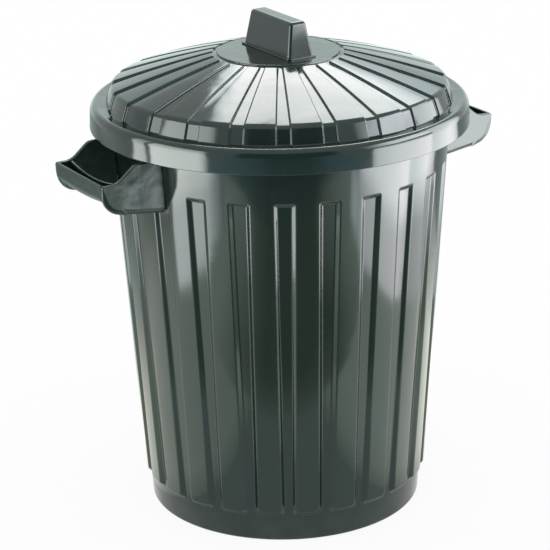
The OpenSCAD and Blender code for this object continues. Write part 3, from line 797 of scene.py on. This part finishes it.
# Wave sizes and depths are in metres. A noise is a scale per metre, detail, roughness and distortion. Levels are
# the values of a noise, of the upward part of a normal or of a height that become a share of 0 and of 1.
plastic = {
    # The pale colour serves real scuffs and convex edges; on the edges it is partly wear and partly a painted
    # highlight.
    "ior": 1.5, "tint": (0.80, 1, 1, 1), "wornAndSheen": (0.045, 0.066, 0.064), "dust": (0.19, 0.185, 0.165),
    "rough": {"rubbed": 0.035, "scuffs": 0.12, "wornAndSheen": 0.15, "dust": 0.5},
    "depths": {"peel": 0.000009, "grain": 0.0000012, "scuffs": 0.000004},
    "wave": (1.5, 0.45, 0.3), "waveGain": 4, "scuffPale": 0.3, "specksUp": 2.5, "specksLow": 1.5,
    "noises": {
        "peel": (420, 1, 0.4), "grain": (1900, 0, 0.4), "drift": (5.5, 3, 0.6), "rubbed": (17, 4, 0.62, 0.4),
        "rubbedFine": (90, 3, 0.6), "scuffs": (1, 1, 0.5), "scuffPatches": (9, 2, 0.5), "cloud": (24, 4, 0.6),
        "specks": (520, 1, 0.5)},
    "levels": {
        "drift": (0.3, 0.7), "rubbed": (0.46, 0.72), "rubbedFine": (0.3, 0.7), "scuffs": (0.735, 0.79),
        "scuffPatches": (0.5, 0.68), "cloud": (0.3, 0.75), "specks": (0.7, 0.78), "faceUp": (0.25, 0.95),
        "nearFloor": (0.055, 0.004)},
    "scuffWays": (((60, 60, 900), (0, 11, 0)), ((900, 900, 45), (7, -9, 0)), ((420, 60, 900), (25, 0, 35))),
    # Settings of the convex-edge share: partly wear, partly a painted highlight on the edges.
    "sheenAndWear": {"bend": 7, "span": 16, "least": 0.2, "rubbed": 0.5},
    "looks": {
        "lidPlastic": {"low": (0.0085, 0.0175, 0.0135), "high": (0.0095, 0.0195, 0.016), "gloss": 0.09,
                       "waveSize": 0.058, "waveDepth": 0.00022, "dustShare": 0.05, "footDust": 0.0},
        # The tub's tones are less blue than the lid's: partly a painted warm bounce from the floor.
        "tubPlastic": {"low": (0.0085, 0.0165, 0.0115), "high": (0.0090, 0.0185, 0.0140), "gloss": 0.10,
                       "waveSize": 0.085, "waveDepth": 0.00014, "dustShare": 0.03, "footDust": 0.12},
        "knobPlastic": {"low": (0.0085, 0.0175, 0.0135), "high": (0.0095, 0.0195, 0.016), "gloss": 0.12,
                        "waveSize": 0.03, "waveDepth": 0.00004, "dustShare": 0.03, "footDust": 0.0},
        "handlePlastic": {"low": (0.0085, 0.0170, 0.0125), "high": (0.0095, 0.0190, 0.015), "gloss": 0.13,
                          "waveSize": 0.024, "waveDepth": 0.00022, "dustShare": 0.04, "footDust": 0.0},
    },
}


def openGroup(name, inputs, outputs):
    group = bpy.data.node_groups.new(name, "ShaderNodeTree")
    for label, kind in inputs:
        group.interface.new_socket(label, in_out="INPUT", socket_type=kind)
    for label in outputs:
        group.interface.new_socket(label, in_out="OUTPUT", socket_type="NodeSocketFloat")
    return group, group.nodes.new("NodeGroupInput").outputs, group.nodes.new("NodeGroupOutput").inputs


def addNoise(tree, place, scale, detail, rough, distortion=0):
    noise = tree.nodes.new("ShaderNodeTexNoise")
    noise.inputs["Detail"].default_value, noise.inputs["Roughness"].default_value = detail, rough
    noise.inputs["Distortion"].default_value = distortion
    tree.links.new(place, noise.inputs["Vector"])
    if isinstance(scale, (int, float)):
        noise.inputs["Scale"].default_value = scale
    else:
        tree.links.new(scale, noise.inputs["Scale"])
    return noise.outputs["Fac"]


def stretch(tree, place, scale, turn):
    mapping = tree.nodes.new("ShaderNodeMapping")
    mapping.inputs["Scale"].default_value = scale
    mapping.inputs["Rotation"].default_value = [math.radians(angle) for angle in turn]
    tree.links.new(place, mapping.inputs["Vector"])
    return mapping.outputs["Vector"]


# Share from 0 to 1 between two levels of a value.
def spread(tree, value, low, high):
    step = tree.nodes.new("ShaderNodeMapRange")
    step.interpolation_type = "SMOOTHSTEP"
    step.inputs["From Min"].default_value, step.inputs["From Max"].default_value = low, high
    tree.links.new(value, step.inputs["Value"])
    return step.outputs["Result"]


# Noise of one kind as a share from 0 to 1.
def addShare(tree, place, kind):
    return spread(tree, addNoise(tree, place, *plastic["noises"][kind]), *plastic["levels"][kind])


# Unevenness of a moulded wall: slow waves, and the fine peel of the gloss on them.
def makeMouldWaves():
    tree, given, wanted = openGroup("mouldWaves", (("Place", "NodeSocketVector"), ("Size", "NodeSocketFloat"),
                                                   ("Depth", "NodeSocketFloat")), ("Height", "Drift"))
    slow = addNoise(tree, given["Place"], joinMath(tree, "DIVIDE", 1, given["Size"]), *plastic["wave"])
    height = joinMath(tree, "MULTIPLY", slow, joinMath(tree, "MULTIPLY", given["Depth"], plastic["waveGain"]))
    for kind in ("peel", "grain"):
        fine = addNoise(tree, given["Place"], *plastic["noises"][kind])
        height = joinMath(tree, "MULTIPLY_ADD", fine, plastic["depths"][kind], height)
    tree.links.new(height, wanted["Height"])
    tree.links.new(addShare(tree, given["Place"], "drift"), wanted["Drift"])
    return tree


# Handling: rubbed patches that shine less, and thin scuffs in three directions.
def makeHandMarks():
    tree, given, wanted = openGroup("handMarks", (("Place", "NodeSocketVector"),), ("Rubbed", "Scuffs"))
    place, lines = given["Place"], 0
    rubbed = joinMath(tree, "MULTIPLY", addShare(tree, place, "rubbed"), addShare(tree, place, "rubbedFine"))
    for scale, turn in plastic["scuffWays"]:
        lines = joinMath(tree, "MAXIMUM", lines, addShare(tree, stretch(tree, place, scale, turn), "scuffs"))
    tree.links.new(rubbed, wanted["Rubbed"])
    tree.links.new(joinMath(tree, "MULTIPLY", lines, addShare(tree, place, "scuffPatches")), wanted["Scuffs"])
    return tree


# Dust: a film with specks on what faces up, and a soft splashed band just above the floor.
def makeDustFilm():
    tree, given, wanted = openGroup("dustFilm", (("Place", "NodeSocketVector"), ("Facing", "NodeSocketVector"),
                                                 ("Share", "NodeSocketFloat"), ("Foot", "NodeSocketFloat")),
                                    ("Mask",))
    facing, place = tree.nodes.new("ShaderNodeSeparateXYZ"), tree.nodes.new("ShaderNodeSeparateXYZ")
    tree.links.new(given["Facing"], facing.inputs[0])
    tree.links.new(given["Place"], place.inputs[0])
    cloud, specks = addShare(tree, given["Place"], "cloud"), addShare(tree, given["Place"], "specks")
    film = joinMath(tree, "MULTIPLY", spread(tree, facing.outputs["Z"], *plastic["levels"]["faceUp"]),
                    joinMath(tree, "MULTIPLY_ADD", specks, plastic["specksUp"], cloud))
    low = joinMath(tree, "MULTIPLY", spread(tree, place.outputs["Z"], *plastic["levels"]["nearFloor"]),
                   joinMath(tree, "MULTIPLY_ADD", specks, plastic["specksLow"], cloud))
    mask = joinMath(tree, "MULTIPLY_ADD", low, given["Foot"], joinMath(tree, "MULTIPLY", film, given["Share"]))
    tree.links.new(joinMath(tree, "MINIMUM", mask, 1), wanted["Mask"])
    return tree


# Where convex edges are touched most, between 0 and 1 on each vertex; the same share also lightens them as a painted
# highlight for the sheen of rounded edges.
def markEdges(piece):
    sheenAndWear, sheenAndTouched = plastic["sheenAndWear"], []
    mesh = bmesh.new()
    mesh.from_mesh(piece.data)
    for vert in mesh.verts:
        bend = max((edge.calc_face_angle_signed(0) for edge in vert.link_edges), default=0)
        sheenAndTouched.append(min(max((math.degrees(bend) - sheenAndWear["bend"]) / sheenAndWear["span"], 0), 1))
    mesh.free()
    layer = piece.data.attributes.new("edgeWear", "FLOAT", "POINT")
    layer.data.foreach_set("value", sheenAndTouched)


# One finish of the plastic, from the shared groups and its own values.
def mixPlastic(name, groups, low, high, gloss, waveSize, waveDepth, dustShare, footDust):
    paint = bpy.data.materials.new(name)
    paint.use_nodes = True
    tree = paint.node_tree
    link, shader = tree.links.new, tree.nodes["Principled BSDF"]
    shader.inputs["IOR"].default_value = plastic["ior"]
    shader.inputs["Specular Tint"].default_value = plastic["tint"]
    place = tree.nodes.new("ShaderNodeTexCoord")
    waves, marks, film = [tree.nodes.new("ShaderNodeGroup") for _ in groups]
    for node, group in zip((waves, marks, film), groups):
        node.node_tree = group
        link(place.outputs["Object"], node.inputs["Place"])
    waves.inputs["Size"].default_value, waves.inputs["Depth"].default_value = waveSize, waveDepth
    film.inputs["Share"].default_value, film.inputs["Foot"].default_value = dustShare, footDust
    link(place.outputs["Normal"], film.inputs["Facing"])
    # Share of convex edges: partly wear, partly a painted highlight that lightens them.
    sheenAndWear = tree.nodes.new("ShaderNodeAttribute")
    sheenAndWear.attribute_name = "edgeWear"
    wornAndSheen = joinMath(tree, "MULTIPLY", sheenAndWear.outputs["Fac"], joinMath(
        tree, "MULTIPLY_ADD", marks.outputs["Rubbed"], plastic["sheenAndWear"]["rubbed"], plastic["sheenAndWear"]["least"]))
    pale = joinMath(tree, "MULTIPLY_ADD", marks.outputs["Scuffs"], plastic["scuffPale"], wornAndSheen)
    colour = mixTones(tree, waves.outputs["Drift"], low, high)
    # Painted highlight: convex edges, along with real scuffs, are lightened toward the pale colour.
    colour = mixTones(tree, pale, colour, plastic["wornAndSheen"])
    link(mixTones(tree, film.outputs["Mask"], colour, plastic["dust"]), shader.inputs["Base Color"])
    rough = gloss
    for kind, share in (("rubbed", marks.outputs["Rubbed"]), ("scuffs", marks.outputs["Scuffs"]), ("wornAndSheen", wornAndSheen),
                        ("dust", film.outputs["Mask"])):
        rough = joinMath(tree, "MULTIPLY_ADD", share, plastic["rough"][kind], rough)
    link(rough, shader.inputs["Roughness"])
    bump = tree.nodes.new("ShaderNodeBump")
    bump.inputs["Distance"].default_value = 1
    height = joinMath(tree, "MULTIPLY_ADD", marks.outputs["Scuffs"], -plastic["depths"]["scuffs"],
                      waves.outputs["Height"])
    link(height, bump.inputs["Height"])
    link(bump.outputs["Normal"], shader.inputs["Normal"])
    return paint


scene.view_settings.view_transform = "Standard"
placeCamera()
buildStudio()
pieces = [makeLid(), makeTub(), makeKnob()] + makeHandles()
groups = (makeMouldWaves(), makeHandMarks(), makeDustFilm())
looks = {name: mixPlastic(name, groups, **values) for name, values in plastic["looks"].items()}
for piece in pieces:
    markEdges(piece)
for node in list(nodes.values()) + pieces:
    kind = next(kind for kind in ("lid", "tub", "knob", "handle") if node.name.startswith(kind))
    node.data.materials.clear()
    node.data.materials.append(looks[kind + "Plastic"])
print("plastic mixed")
